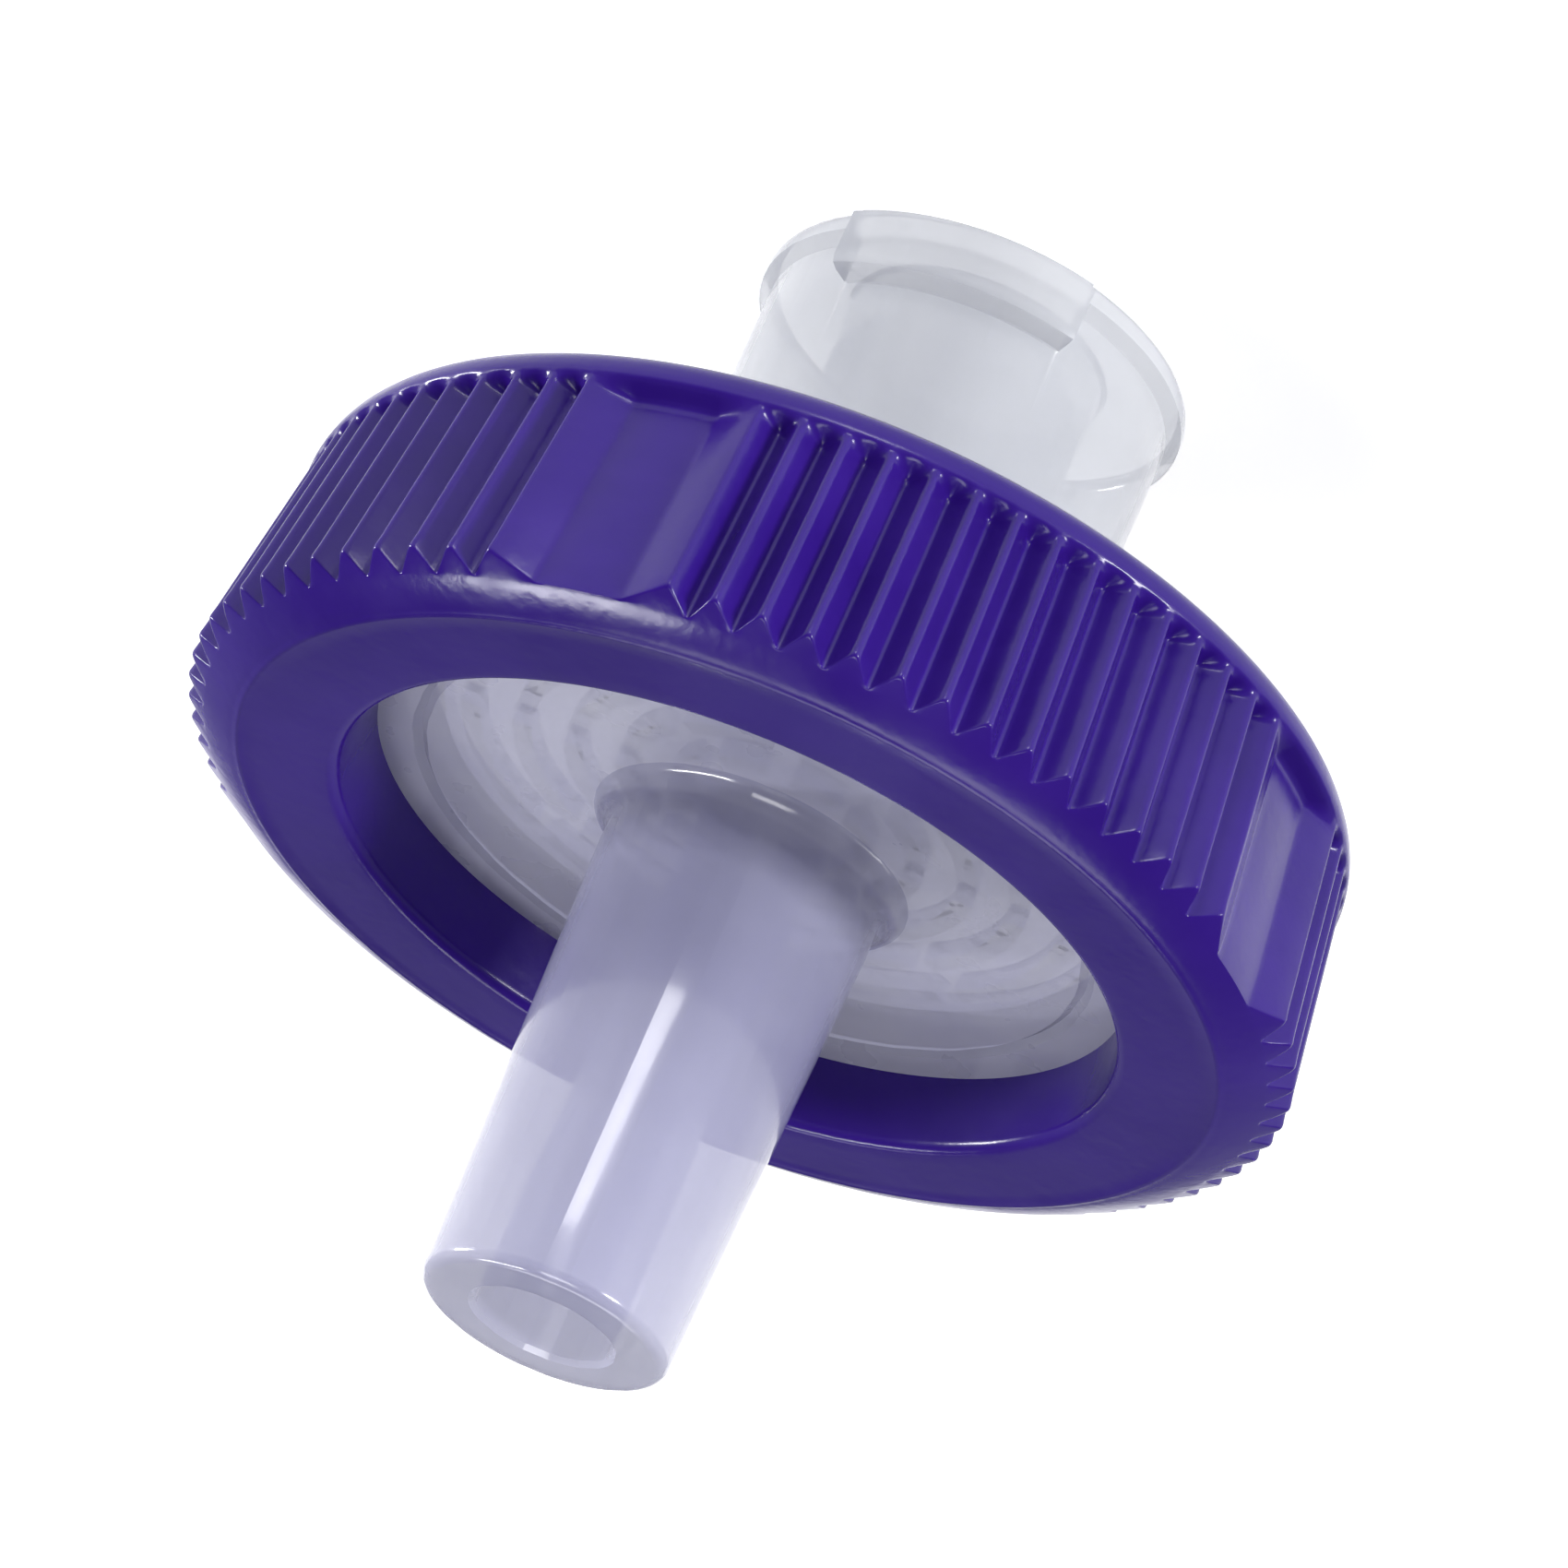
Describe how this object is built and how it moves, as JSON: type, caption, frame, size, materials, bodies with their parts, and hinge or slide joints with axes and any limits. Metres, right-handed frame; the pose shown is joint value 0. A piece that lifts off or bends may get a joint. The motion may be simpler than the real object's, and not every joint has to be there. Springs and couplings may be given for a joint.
{
  "type": "syringe filter",
  "caption": "Disc-shaped syringe filter with a female luer lock inlet, a male luer slip outlet, a membrane between clear housing halves and a ribbed grip ring.",
  "frame": {"origin": "centre of the inlet's end face, the face the filter stands on", "axes": "+Z along the flow, from the luer lock inlet at the bottom to the slip outlet at the top"},
  "size_m": [0.018, 0.018, 0.0182],
  "materials": {
    "clear_polypropylene": "natural translucent polypropylene, glossy",
    "membrane_film": "matte white porous film",
    "violet_polypropylene": "violet moulded polypropylene, satin gloss"
  },
  "bodies": {
    "root": {"inlet_housing": "clear_polypropylene", "outlet_housing": "clear_polypropylene", "membrane": "membrane_film", "grip_ring": "violet_polypropylene"}
  },
  "joints": []
}
